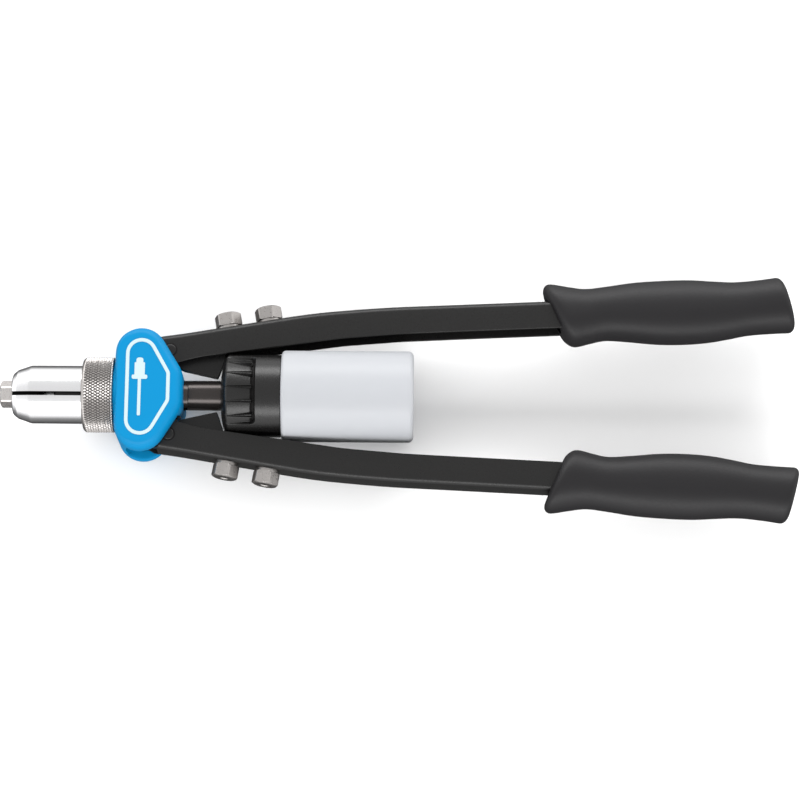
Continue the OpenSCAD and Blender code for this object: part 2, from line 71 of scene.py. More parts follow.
def material(name, color, rough=0.5, metal=0.0, grain=400.0, bump=0.05, vary=0.06, stretch=(1, 1, 1),
             mottle=0.04, scratch=0.0, subsurface=0.0, gloss=0.5, edge=1.0):
    """Principled surface with fine grain in its bump and roughness and broad changes of tone.

    mottle is the change of tone, vary that of roughness and edge the brightness of glancing reflections.
    """
    m = bpy.data.materials.new(name)
    m.use_nodes = True
    tree = m.node_tree
    nodes, links = tree.nodes, tree.links
    shader = nodes["Principled BSDF"]
    coords = nodes.new("ShaderNodeTexCoord").outputs["Object"]

    place = nodes.new("ShaderNodeMapping")
    place.inputs["Scale"].default_value = stretch
    links.new(coords, place.inputs["Vector"])
    fine = noise(tree, place.outputs["Vector"], grain, 4.0)
    broad = noise(tree, coords, 55.0, 3.0)

    tone = nodes.new("ShaderNodeMixRGB")
    tone.inputs["Color1"].default_value = tuple(c * (1 - mottle) for c in color[:3]) + (1.0,)
    tone.inputs["Color2"].default_value = tuple(min(1.0, c * (1 + mottle)) for c in color[:3]) + (1.0,)
    links.new(broad.outputs["Fac"], tone.inputs["Fac"])
    links.new(tone.outputs["Color"], shader.inputs["Base Color"])

    spread = nodes.new("ShaderNodeMapRange")
    spread.inputs["From Min"].default_value = 0.3
    spread.inputs["From Max"].default_value = 0.7
    spread.inputs["To Min"].default_value = max(0.02, rough - vary)
    spread.inputs["To Max"].default_value = min(1.0, rough + vary)
    links.new(fine.outputs["Fac"], spread.inputs["Value"])
    links.new(spread.outputs["Result"], shader.inputs["Roughness"])

    relief = bump_node(tree, fine, bump, 0.0002)
    if scratch:
        skew = nodes.new("ShaderNodeMapping")
        skew.inputs["Scale"].default_value = (0.6, 9.0, 9.0)
        skew.inputs["Rotation"].default_value = (0.2, 0.1, 0.5)
        links.new(coords, skew.inputs["Vector"])
        lines = noise(tree, skew.outputs["Vector"], 130.0, 6.0)
        over = bump_node(tree, lines, scratch, 0.0001)
        links.new(relief.outputs["Normal"], over.inputs["Normal"])
        relief = over
    links.new(relief.outputs["Normal"], shader.inputs["Normal"])

    shader.inputs["Metallic"].default_value = metal
    shader.inputs["IOR"].default_value = 1.5
    shader.inputs["Specular IOR Level"].default_value = gloss
    shader.inputs["Specular Tint"].default_value = (edge, edge, edge, 1.0)
    shader.inputs["Subsurface Weight"].default_value = subsurface
    shader.inputs["Subsurface Radius"].default_value = (0.004, 0.004, 0.004)
    return m


BLUE = material("cover_blue", srgb(0.0, 0.486, 0.69), 0.42, grain=900, bump=0.10, mottle=0.03, gloss=0.14)
WHITE = material("print_white", srgb(0.70, 0.77, 0.785), 0.45, grain=900, bump=0.06, mottle=0.01, gloss=0.2)
PAINT = material("arm_paint", srgb(0.088, 0.086, 0.085), 0.34, grain=1300, bump=0.16, mottle=0.10,
                 vary=0.08, gloss=0.30)
RUBBER = material("grip_rubber", srgb(0.078, 0.073, 0.081), 0.50, grain=1500, bump=0.35, mottle=0.10,
                  gloss=0.30)
POLISHED = material("polished_aluminium", srgb(0.93, 0.93, 0.935), 0.17, metal=1.0, grain=600, bump=0.05,
                    stretch=(12, 0.6, 0.6), mottle=0.02, vary=0.05, scratch=0.04, edge=0.6)
PLATED = material("plated_steel", srgb(0.80, 0.785, 0.775), 0.30, metal=1.0, grain=900, bump=0.10,
                  mottle=0.06, vary=0.08, scratch=0.06, edge=0.6)
KNURLED = material("knurled_steel", srgb(0.69, 0.675, 0.665), 0.32, metal=1.0, grain=900, bump=0.10,
                   mottle=0.08, vary=0.08, scratch=0.06, edge=0.5)
# dark colour painted into the knurl's valleys as their shade
KNURL_SHADE = material("knurl_painted_shade", srgb(0.27, 0.26, 0.255), 0.45, metal=0.8, grain=900, bump=0.1,
                       mottle=0.1)
MACHINED = material("machined_steel", srgb(0.62, 0.62, 0.63), 0.38, metal=1.0, grain=700, bump=0.12,
                    stretch=(6, 1, 1), mottle=0.08, scratch=0.08)
WORN = material("worn_steel", srgb(0.66, 0.645, 0.635), 0.34, metal=1.0, grain=900, bump=0.14, mottle=0.14,
                vary=0.1, scratch=0.1, edge=0.5)
DARK_STEEL = material("blackened_steel", srgb(0.16, 0.15, 0.15), 0.34, metal=0.5, grain=900, bump=0.12,
                      mottle=0.12, vary=0.08)
# black painted into bores, the sleeve's slit, the rivet rings and the cap's deepest window floors, as their
# shade
PAINTED_SHADE = material("painted_shade_black", srgb(0.05, 0.045, 0.045), 0.6, grain=900, bump=0.1, gloss=0.15)
TUBE = material("tube_black", srgb(0.24, 0.225, 0.22), 0.22, metal=0.75, grain=800, bump=0.06,
                stretch=(8, 1, 1), mottle=0.08, gloss=0.4)
CAP = material("cap_plastic", srgb(0.068, 0.066, 0.066), 0.30, grain=1100, bump=0.10, mottle=0.06,
               vary=0.05, gloss=0.42)
BOTTLE = material("bottle_plastic", srgb(0.68, 0.688, 0.703), 0.40, grain=500, bump=0.03, mottle=0.01,
                  subsurface=0.3, gloss=0.35)
SEAL = material("seal_rubber", srgb(0.10, 0.10, 0.10), 0.6, grain=900, bump=0.2)


# ---------------------------------------------------------------- mesh helpers

def face_outwards(mesh):
    """Turns the faces of each shell outwards."""
    shells = bmesh.new()
    shells.from_mesh(mesh)
    bmesh.ops.recalc_face_normals(shells, faces=shells.faces)
    shells.to_mesh(mesh)
    shells.free()


def piece(name, shape, body, node, mat, sharp=32):
    """A new mesh from a shape in millimetres, which rides on a body and stands for a CAD node."""
    verts, faces = shape
    mesh = bpy.data.meshes.new(name)
    mesh.from_pydata([Vector(v) * MM for v in verts], [], faces)
    mesh.validate()
    face_outwards(mesh)
    mesh.polygons.foreach_set("use_smooth", [True] * len(mesh.polygons))
    mesh.set_sharp_from_angle(angle=math.radians(sharp))
    mesh.materials.append(mat)
    obj = bpy.data.objects.new(name, mesh)
    bpy.context.scene.collection.objects.link(obj)
    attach(obj, body)
    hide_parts(node)
    return obj


def paint_where(obj, mat, test):
    """Gives a second material to the faces whose centre, in millimetres, passes a test."""
    obj.data.materials.append(mat)
    index = len(obj.data.materials) - 1
    for poly in obj.data.polygons:
        if test(*(poly.center / MM)):
            poly.material_index = index


def round_edges(obj, width, segments, angle):
    """Bevels the edges that are sharper than an angle in degrees."""
    bevel = obj.modifiers.new("rounded_edges", "BEVEL")
    bevel.width = width * MM
    bevel.segments = segments
    bevel.limit_method = "ANGLE"
    bevel.angle_limit = math.radians(angle)
    bevel.harden_normals = True


# A shape is a pair: a list of points and a list of faces.

def joined(shapes):
    """Joins several shapes into one."""
    verts, faces = [], []
    for v, f in shapes:
        base = len(verts)
        verts += list(v)
        faces += [tuple(i + base for i in face) for face in f]
    return verts, faces


def moved(shape, matrix):
    return [matrix @ Vector(v) for v in shape[0]], shape[1]


def flipped(shape):
    return shape[0], [tuple(reversed(f)) for f in shape[1]]


def mirrored_y(shape):
    return [(v[0], -v[1], v[2]) for v in shape[0]], [tuple(reversed(f)) for f in shape[1]]


def mirrored_z(shape):
    return [(v[0], v[1], -v[2]) for v in shape[0]], [tuple(reversed(f)) for f in shape[1]]


def fillet(points, steps):
    """Closed polyline of (a, b, radius), each corner rounded by its radius."""
    out = []
    n = len(points)
    for i, (x, y, r) in enumerate(points):
        p = Vector((x, y))
        a = Vector(points[i - 1][:2]) - p
        b = Vector(points[(i + 1) % n][:2]) - p
        if r <= 0 or a.length < 1e-6 or b.length < 1e-6:
            out.append((x, y))
            continue
        half = a.angle(b) / 2
        back = min(r / math.tan(half), 0.49 * a.length, 0.49 * b.length)
        r = back * math.tan(half)
        if back < 1e-4:
            out.append((x, y))
            continue
        start, end = p + a.normalized() * back, p + b.normalized() * back
        centre = p + (a.normalized() + b.normalized()).normalized() * (r / math.sin(half))
        va, vb = start - centre, end - centre
        turn = va.angle(vb)
        sign = 1 if va.cross(vb) > 0 else -1
        for k in range(steps + 1):
            t = sign * turn * k / steps
            out.append((centre.x + va.x * math.cos(t) - va.y * math.sin(t),
                        centre.y + va.x * math.sin(t) + va.y * math.cos(t)))
    return out


def lathe(profile, cols=128, radius=None, loop=True, turn=None):
    """Turns a profile of (x, r) about the X axis.

    radius(x, r, angle) may change the radius, and turn(x, angle) may shift a column.
    """
    verts, faces, rings = [], [], []
    for x, r in profile:
        if r < 1e-5:
            rings.append([len(verts)] * cols)
            verts.append((x, 0, 0))
            continue
        rings.append(list(range(len(verts), len(verts) + cols)))
        for k in range(cols):
            a = TAU * k / cols
            q = radius(x, r, a) if radius else r
            a = turn(x, a) if turn else a
            verts.append((x, -q * math.sin(a), q * math.cos(a)))
    n = len(rings)
    for i in range(n if loop else n - 1):
        a, b = rings[i], rings[(i + 1) % n]
        for k in range(cols):
            m = (k + 1) % cols
            face = []
            for v in (a[k], b[k], b[m], a[m]):
                if v not in face:
                    face.append(v)
            if len(face) > 2:
                faces.append(tuple(face))
    return verts, faces


def part_lathe(profile, angles):
    """Turns a profile of (x, r) through part of a circle and closes both ends. angles(r) are its columns."""
    verts, faces = [], []
    for x, r in profile:
        verts += [(x, -r * math.sin(a), r * math.cos(a)) for a in angles(r)]
    n = len(profile)
    row = len(verts) // n
    for i in range(n):
        j = (i + 1) % n
        for k in range(row - 1):
            faces.append((i * row + k, j * row + k, j * row + k + 1, i * row + k + 1))
    faces.append(tuple(i * row for i in reversed(range(n))))
    faces.append(tuple(i * row + row - 1 for i in range(n)))
    return verts, faces


def slit_lathe(profile, width, direction, cols=160):
    """Turned shape with one slit of even width, from its bore outwards."""
    def angles(r):
        gap = math.asin(width / 2 / r)
        return [direction + gap + (TAU - 2 * gap) * k / cols for k in range(cols + 1)]

    return part_lathe(profile, angles)


def stack(rings, first=True, last=True):
    """Skins rings that have equal numbers of points, and closes the ends."""
    cols = len(rings[0])
    verts = [v for ring in rings for v in ring]
    faces = []
    for i in range(len(rings) - 1):
        for k in range(cols):
            m = (k + 1) % cols
            faces.append((i * cols + k, (i + 1) * cols + k, (i + 1) * cols + m, i * cols + m))
    if first:
        faces.append(tuple(range(cols)))
    if last:
        base = (len(rings) - 1) * cols
        faces.append(tuple(base + k for k in reversed(range(cols))))
    return verts, faces


def prism(outline, z0, z1):
    """Upright prism on a closed outline."""
    low = [(x, y, z0) for x, y in outline]
    high = [(x, y, z1) for x, y in outline]
    return flipped(stack([low, high]))


def smooth_step(a, b, x):
    """0 below a, 1 above b, and an eased rise between them."""
    t = min(1.0, max(0.0, (x - a) / (b - a)))
    return t * t * (3 - 2 * t)


def resample(points, count):
    """Evenly spaced points along a closed polyline."""
    loop = points + [points[0]]
    lengths = [0.0]
    for a, b in zip(loop, loop[1:]):
        lengths.append(lengths[-1] + math.dist(a, b))
    out, i = [], 0
    for k in range(count):
        d = lengths[-1] * k / count
        while lengths[i + 1] < d:
            i += 1
        t = (d - lengths[i]) / max(1e-9, lengths[i + 1] - lengths[i])
        out.append((loop[i][0] + (loop[i + 1][0] - loop[i][0]) * t,
                    loop[i][1] + (loop[i + 1][1] - loop[i][1]) * t))
    return out


def softened(points, reach, rounds=1):
    """Each point becomes the mean of its neighbours within reach steps."""
    n = len(points)
    for _ in range(rounds):
        points = [(sum(points[(i + k) % n][0] for k in range(-reach, reach + 1)) / (2 * reach + 1),
                   sum(points[(i + k) % n][1] for k in range(-reach, reach + 1)) / (2 * reach + 1))
                  for i in range(n)]
    return points


def inset(points, d):
    """Closed anticlockwise outline drawn in by d, along its normals."""
    n = len(points)
    out = []
    for i, (x, y) in enumerate(points):
        ax, ay = points[i - 1]
        bx, by = points[(i + 1) % n]
        tx, ty = bx - ax, by - ay
        s = math.hypot(tx, ty) or 1.0
        out.append((x - d * ty / s, y + d * tx / s))
    return out


def mirrored_loop(upper, count, reach, rounds):
    """Even, softened outline, anticlockwise seen from +Z, whose half below y = 0 mirrors the upper one."""
    loop = list(reversed(upper)) + [(x, -y) for x, y in upper]
    return softened(resample(loop, count), reach, rounds)


def arc(cx, cy, r, a0, a1, steps):
    """Points along an arc between two angles in degrees."""
    return [(cx + r * math.cos(math.radians(a0 + (a1 - a0) * k / steps)),
             cy + r * math.sin(math.radians(a0 + (a1 - a0) * k / steps))) for k in range(steps + 1)]


# ---------------------------------------------------------------- nose

def hexagonal(flats, turn):
    """Radius of a hexagonal bar, its corners turned down a little."""
    corner = flats / math.sqrt(3)

    def radius(x, r, a):
        side = (a - turn) % (TAU / 6) - TAU / 12
        return min(r, flats / 2 / math.cos(side), corner - 0.22)

    return radius


HEX_FLATS = 13.0
NOSE_COLS = 192
THREAD_PITCH = 0.8
THREAD_TURNS = 11


def nosepiece_shape(bore, stand, height, end, turn):
    """Nosepiece with its front face at x = 0: chamfered hexagon, collar, thread and tail."""
    thread_x = height + stand
    # the hexagon is cut from this round bar
    bar = 7.6
    profile = [(0, bore / 2 + 0.5), (0, 5.9)]
    profile += [(0.16 * k, 5.9 + 0.3 * k) for k in range(1, 6)]
    profile += [(1.0, bar), (height - 0.35, bar), (height, 7.0)]
    if stand > 0:
        profile += [(height, 6.0), (thread_x, 6.0)]
    profile += [(thread_x, 5.0)]
    for k in range(THREAD_TURNS):
        x = thread_x + 0.2 + THREAD_PITCH * k
        profile += [(x, 4.98), (x + 0.35, 4.55), (x + 0.45, 4.55)]
    profile += [(thread_x + 9.3, 3.9), (end, 3.3), (end, bore / 2), (0.5, bore / 2)]
    radius = hexagonal(HEX_FLATS, turn)

    def limited(x, r, a):
        return radius(x, r, a) if r > 6.2 else r

    return lathe(profile, NOSE_COLS, limited)


nose = piece("Nosepiece", nosepiece_shape(3.1, 0.0, 6.7, 18.0, math.radians(43.5)),
             "head", "nosepiece", PLATED, sharp=24)
# the bore's wall is painted black as its shade
paint_where(nose, PAINTED_SHADE, lambda x, y, z: x > 0.6 and math.hypot(y, z) < 1.6)

SLEEVE = fillet([(6.7, 5.0, 0.2), (6.7, 10.9, 2.6), (9.6, 13.15, 1.6), (16.7, 15.6, 5.0), (51.5, 15.6, 0),
                 (51.5, 17.0, 0.3), (55.0, 17.0, 0.3), (55.0, 11.2, 0.3), (21.0, 11.2, 0), (16.0, 5.6, 0),
                 (16.0, 5.0, 0)], 7)
# cylinder inside the sleeve, painted black as the shade seen through its slit
SLIT_SHADE_FLOOR = lathe([(6.95, 5.1), (6.95, 7.6), (21.0, 7.6), (21.0, 5.1)], 96)
SLIT_WIDTH = 2.15
SLIT_TURN = math.radians(11)


def in_slit_shade(x, y, z):
    """True on the walls and the floor of the sleeve's slit, which are painted black as shade."""
    across = y * math.cos(SLIT_TURN) + z * math.sin(SLIT_TURN)
    out = math.hypot(y, z)
    wall = z > 0 and abs(across) < 1.1 and 7.0 < out < 15.3
    return wall or (x > 6.9 and 5.0 < out < 7.61)


sleeve = piece("Nose_Sleeve", joined([slit_lathe(SLEEVE, SLIT_WIDTH, SLIT_TURN), SLIT_SHADE_FLOOR]),
               "head", "nose_sleeve", POLISHED, sharp=35)
# the slit's walls and floor are painted black as shade
paint_where(sleeve, PAINTED_SHADE, in_slit_shade)


# Lock ring
KNURL_COUNT = 77
KNURL_LENGTH = 2.77


def knurl(x, r, a):
    """Diamond knurl, fading out at the ring's two ends."""
    if r < 19.9:
        return r
    u = x / KNURL_LENGTH + a * KNURL_COUNT / TAU
    w = x / KNURL_LENGTH - a * KNURL_COUNT / TAU
    du = abs(u - round(u))
    dw = abs(w - round(w))
    ends = smooth_step(45.9, 46.7, x) * (1 - smooth_step(60.6, 61.2, x))
    return r - 0.02 - 0.55 * ends * (1 - min(1.0, 2.3 * min(du, dw))) - 0.15 * (1 - ends)


RING = [(44.8, 15.68), (44.8, 18.6), (44.95, 19.0), (45.4, 19.5), (45.9, 19.88)]
RING += [(46.15 + 0.3 * k, 20.25) for k in range(50)]
RING += [(61.2, 20.1), (61.5, 19.6), (61.5, 17.35), (51.4, 17.35), (51.4, 15.68)]
ring = piece("Knurled_Ring", lathe(RING, 10 * KNURL_COUNT, knurl), "lock_ring", "knurled_ring",
             KNURLED, sharp=50)
# the knurl's valleys are painted dark as shade
paint_where(ring, KNURL_SHADE, lambda x, y, z: 46.5 < x < 60.8 and 19.0 < math.hypot(y, z) < 19.88)


# ---------------------------------------------------------------- covers

COVER = mirrored_loop(arc(76.2, 19.7, 13.7, 180, 32.1, 36) + [(97.9, 10.5), (98.75, 8.2)], 420, 5, 2)
TOP_Z = 20.0
# the wall stands upright to RIM_Z and is then rounded inwards by RIM
RIM_Z = 14.2
RIM = 4.4
# depth of the lower edge inwards, and of its outer lip alone
SILL = 5.0
LIP = 1.7
ARM_GAP = 9.9
# radii of the bores through the nose end and, without and with the lip, through the tube end
NECK_BORE = 17.3
BARREL_BORE = 13.7
REAR_BORE = 12.3
TUBE_BORE = 8.5


def rim_line(d):
    """Cover outline drawn in by d, and by less along the straight side at the nose."""
    drawn = inset(COVER, d)
    out = []
    for (x, y), (a, b) in zip(COVER, drawn):
        share = 0.5 + 0.5 * smooth_step(62.5, 72.0, x)
        out.append((x + (a - x) * share, y + (b - y) * share))
    return out


def bored(radius, y):
    """Height above the mid plane at which a bore of this radius meets the place y."""
    return math.sqrt(max(0.0, radius ** 2 - y * y))


def underside(x, y, deep):
    """Height of the cover's lower edge: bored for the head and the tube, raised over the arms.

    The deep part, inside the lip, clears the head's barrel and the idlers.
    """
    if x < 75 and abs(y) < 32:
        bore = bored(BARREL_BORE if deep else NECK_BORE, y) if x < 68 else 0.0
        return max(bore, ARM_GAP * smooth_step(67.6, 69.6, x))
    if x > 90 and deep:
        return max(bored(REAR_BORE, y), ARM_GAP)
    if x > 90:
        return max(bored(TUBE_BORE, y), ARM_GAP * smooth_step(11.2, 13.4, abs(y)))
    return ARM_GAP


def cover_shape():
    """Shell of a cover: hollow, sill, lip, lower edge, wall and rounded rim, from the inside out."""
    def low(x, y):
        return underside(x, y, False)

    def deep(x, y):
        return underside(x, y, True)

    def level(points, height):
        return [(x, y, height(x, y)) for x, y in points]

    roof = TOP_Z - 2.2
    rings = [[(80 + 0.5 * (x - 80), 0.2 * y, roof) for x, y in inset(COVER, 9.0)],
             level(inset(COVER, 9.0), lambda x, y: roof),
             level(inset(COVER, SILL + 0.9), lambda x, y: roof - 0.2),
             level(inset(COVER, SILL + 0.2), lambda x, y: roof - 0.9),
             level(inset(COVER, SILL), lambda x, y: deep(x, y) + 0.5),
             level(inset(COVER, SILL - 0.3), deep),
             level(inset(COVER, LIP + 0.1), deep),
             level(inset(COVER, LIP), low),
             level(inset(COVER, 0.4), low),
             level(inset(COVER, 0.1), lambda x, y: low(x, y) + 0.12),
             level(COVER, lambda x, y: low(x, y) + 0.45)]
    steps = 14
    for k in range(steps + 1):
        t = math.radians(90 * k / steps)
        rise = RIM_Z + (TOP_Z - RIM_Z) * math.sin(t)
        edge = [max(rise, low(x, y) + 0.5) for x, y in COVER]
        rings.append([(x, y, z) for (x, y), z in zip(rim_line(RIM * (1 - math.cos(t))), edge)])
    rings.append(level(rim_line(RIM + 0.8), lambda x, y: TOP_Z))
    return stack(rings)


def collar_shape():
    """Half collar between the lock ring and the cover."""
    profile = fillet([(61.6, 17.4, 0), (61.6, 18.1, 0.3), (64.9, 19.7, 0.3), (64.9, 17.4, 0)], 4)
    cols = 64
    return part_lathe(profile, lambda r: [-math.pi / 2 + math.pi * k / cols for k in range(cols + 1)])


FRONT = joined([cover_shape(), collar_shape()])
piece("Front_Cover", FRONT, "head", "front_cover", BLUE, sharp=38)
piece("Rear_Cover", mirrored_z(FRONT), "head", "rear_cover", BLUE, sharp=38)


# Raised border and rivet sign
BORDER = mirrored_loop(arc(76.8, 18.2, 8.3, 180, 30, 28) + [(91.9, 8.35), (92.2, 7.6)], 300, 2, 1)


def border_shape():
    """Rounded white line of even width along the border."""
    rings = []
    for d, z in ((0.0, TOP_Z - 0.25), (0.0, TOP_Z + 0.16), (0.12, TOP_Z + 0.3), (0.35, TOP_Z + 0.34),
                 (1.55, TOP_Z + 0.34), (1.78, TOP_Z + 0.3), (1.9, TOP_Z + 0.16), (1.9, TOP_Z - 0.25)):
        rings.append([(x, y, z) for x, y in inset(BORDER, d)])
    rings.append(rings[0])
    return stack(rings, False, False)


def sign_shape():
    """Upright sign of a rivet, seen from the side."""
    outline = [(75.2, -16.0, 0.6), (76.9, -16.0, 0.6), (76.9, 4.0, 0.3), (80.2, 4.0, 0.9), (80.2, 6.3, 0.9),
               (78.8, 6.3, 0.2), (78.8, 13.1, 0.5), (77.9, 13.1, 0.2), (77.9, 15.7, 1.2), (74.2, 15.7, 1.2),
               (74.2, 13.1, 0.2), (73.3, 13.1, 0.5), (73.3, 6.3, 0.2), (71.9, 6.3, 0.9), (71.9, 4.0, 0.9),
               (75.2, 4.0, 0.3)]
    return prism(fillet(outline, 5), TOP_Z - 0.2, TOP_Z + 0.22)


piece("Front_Badge", joined([border_shape(), sign_shape()]), "head", "front_badge", WHITE,
      sharp=40)


# ---------------------------------------------------------------- arms

ARM_X0 = 85
ARM_X1 = 407.9
# outer and inner edge of the upper arm, seen from +Z
WEB = [(ARM_X0, 31), (99, 33), (114, 35.6), (128, 38), (150, 41.8), (161, 43.6), (172, 45.1), (182, 46.1),
       (193, 47.1), (204, 47.9), (214, 48.6), (247, 50.1), (ARM_X1, 57.6)]
INNER = [(79.5, 12.5), (86, 13.6), (95, 16.5), (104, 19), (118, 20.9), (140, 24), (182, 30.2),
         (214.5, 33), (247, 34.6), (ARM_X1, 42.1)]
ARM_HALF = 9.0
SHEET = 1.6


def along(points, x):
    """Height of a bent line at x."""
    for (x0, y0), (x1, y1) in zip(points, points[1:]):
        if x <= x1:
            return y0 + (y1 - y0) * (x - x0) / (x1 - x0)
    return points[-1][1]


def eased(points, x):
    """Height of a bent line at x, its corners eased, but as it is near its two ends."""
    reach, steps = 5.0, 4
    if min(x - points[0][0], points[-1][0] - x) < reach:
        return along(points, x)
    near = [along(points, x + reach * k / steps) for k in range(-steps, steps + 1)]
    return sum(near) / len(near)


def channel_section(depth):
    """Section of the U channel, open inwards, as (distance out of the web, z)."""
    bend, chamfer = 3.2, 0.25
    inner_bend = bend - SHEET
    half, inner = ARM_HALF, ARM_HALF - SHEET
    section = [(-depth, half - chamfer), (-depth + chamfer, half), (-depth * 0.5, half)]
    section += arc(-bend, half - bend, bend, 90, 0, 8)
    section += arc(-bend, -half + bend, bend, 0, -90, 8)
    section += [(-depth * 0.5, -half), (-depth + chamfer, -half), (-depth, -half + chamfer)]
    section += [(-depth, -inner - chamfer), (-depth + chamfer, -inner)]
    section += arc(-bend, -half + bend, inner_bend, -90, 0, 5)
    section += arc(-bend, half - bend, inner_bend, 0, 90, 5)
    section += [(-depth + chamfer, inner), (-depth, inner + chamfer)]
    return section


def channel_shape():
    """Bent steel channel of the upper arm."""
    step, reach = 2.5, 1.5
    rings = []
    for x in [ARM_X0 + step * k for k in range(int((ARM_X1 - ARM_X0) / step) + 1)] + [ARM_X1]:
        out = eased(WEB, x)
        before, after = max(x - reach, ARM_X0), min(x + reach, ARM_X1)
        slope = (eased(WEB, after) - eased(WEB, before)) / (after - before)
        s = math.hypot(1, slope)
        depth = (out - eased(INNER, x)) / s
        rings.append([(x - slope / s * a, out + a / s, z) for a, z in channel_section(depth)])
    return stack(rings)


def bored_plate(outline, centre, radius, z0, z1):
    """Flat plate with a round bore. Its outline is seen whole from the bore's centre."""
    rim, spacing = [], 0.8
    for k, (x, y) in enumerate(outline):
        x2, y2 = outline[(k + 1) % len(outline)]
        steps = math.ceil(math.hypot(x2 - x, y2 - y) / spacing)
        rim += [(x + (x2 - x) * i / steps, y + (y2 - y) * i / steps) for i in range(steps)]
    bore = []
    for x, y in rim:
        dx, dy = x - centre[0], y - centre[1]
        reach = math.hypot(dx, dy)
        bore.append((centre[0] + dx * radius / reach, centre[1] + dy * radius / reach))
    verts = [(x, y, z) for loop, z in ((bore, z0), (rim, z0), (rim, z1), (bore, z1)) for x, y in loop]
    n = len(rim)
    faces = []
    for i in range(4):
        j = (i + 1) % 4
        for k in range(n):
            m = (k + 1) % n
            faces.append((i * n + k, i * n + m, j * n + m, j * n + k))
    return verts, faces


PIVOT = (77, 20.5)
RIVET = (91.1, 23.2)
# where the spare nosepieces stand on the web, and the lean of their axes
SPARES = {"front": (122.3, 37.02), "rear": (143.9, 40.75)}
SPARE_LEAN = 9.7


def flange_front(z0, z1):
    """Rounded front end of a flange, bored for the pivot pin."""
    outline = arc(*PIVOT, 8.4, 120, 265, 26) + [(79.5, 12.55), (84.5, 13.2), (86.5, 14.0), (87.5, 28.2),
                                               (85.2, 30.6), (82.6, 30.2), (79.7, 28.45)]
    return bored_plate(outline, PIVOT, 5.3, z0, z1)


def spare_matrix(where):
    """Places a shape at one of the spares, its X axis pointing into the web."""
    turn = Matrix.Rotation(math.radians(SPARE_LEAN - 90), 4, "Z")
    return Matrix.Translation((*SPARES[where], 0)) @ turn


def boss_shape(where):
    """Threaded bush inside the web, for a spare."""
    profile = fillet([(1.2, 5.05, 0), (1.2, 7.15, 0), (6.5, 7.15, 0.4), (6.5, 5.05, 0.2)], 3)
    return moved(lathe(profile, 64), spare_matrix(where))


ARM = joined([channel_shape(), flange_front(ARM_HALF - SHEET, ARM_HALF),
              flange_front(-ARM_HALF, SHEET - ARM_HALF), boss_shape("front"), boss_shape("rear")])


def rivet_shape():
    """Rivet's nearly flush heads, each ringed by a flat rim that is painted black as the shade of a groove.
    """
    half = [(9.42, 0.0), (9.41, 1.6), (9.36, 2.5), (9.2, 2.9), (9.06, 3.0), (9.05, 3.1), (9.05, 3.8),
            (9.02, 3.85), (7.5, 3.85), (7.5, 2.4)]
    shape = lathe(half + [(-x, r) for x, r in reversed(half)], 64, loop=False)
    return moved(shape, Matrix.Translation((*RIVET, 0)) @ Matrix.Rotation(math.radians(-90), 4, "Y"))


# Grips: place along the handle, centre, width and thickness
GRIP = [(292, 45.75, 33.4, 27.4), (303, 46.05, 34.0, 27.8), (311, 46.3, 30.9, 26.4), (320, 46.6, 28.0, 25.2),
        (332, 47.0, 30.0, 26.2), (347, 47.5, 33.5, 27.7), (362, 48.1, 34.7, 28.0), (376, 48.9, 34.1, 27.7),
        (388, 49.6, 31.5, 26.7), (399, 50.5, 29.0, 25.7), (411, 51.6, 29.0, 25.8), (424, 52.9, 30.2, 26.5),
        (436, 54.0, 30.8, 26.8)]


def spline(x, column):
    """Smooth value of a grip column at x."""
    pts = [(g[0], g[column]) for g in GRIP]
    x = min(max(x, pts[0][0]), pts[-1][0] - 1e-6)
    i = max(k for k in range(len(pts) - 1) if pts[k][0] <= x)
    x0, y0 = pts[i]
    x1, y1 = pts[i + 1]
    xa, ya = pts[max(0, i - 1)]
    xb, yb = pts[min(len(pts) - 1, i + 2)]
    m0 = (y1 - ya) / (x1 - xa)
    m1 = (yb - y0) / (xb - x0)
    h = x1 - x0
    t = (x - x0) / h
    return ((2 * t ** 3 - 3 * t ** 2 + 1) * y0 + (t ** 3 - 2 * t ** 2 + t) * h * m0
            + (-2 * t ** 3 + 3 * t ** 2) * y1 + (t ** 3 - t ** 2) * h * m1)


GRIP_FRONT = 297.4
GRIP_REAR = 424.8
GRIP_COLS = 96


def slant(s):
    """Lean of the grip's sections, steeper at the front than at the rear."""
    return math.tan(math.radians(23 - 8.5 * smooth_step(320, 410, s)))


def oval(half_width, half_height, power):
    """Superellipse: an ellipse at power 1, squarer below it."""
    out = []
    for k in range(GRIP_COLS):
        c, s = math.cos(TAU * k / GRIP_COLS), math.sin(TAU * k / GRIP_COLS)
        out.append((half_width * math.copysign(abs(c) ** power, c),
                    half_height * math.copysign(abs(s) ** power, s)))
    return out


def grip_ring(s, shrink):
    """Slanted oval section where the handle's length is s, drawn in by shrink."""
    section = oval(spline(s, 2) / 2 - shrink, spline(s, 3) / 2 - shrink, 2 / 2.25)
    return [(s - slant(s) * y, spline(s, 1) + y, z) for y, z in section]


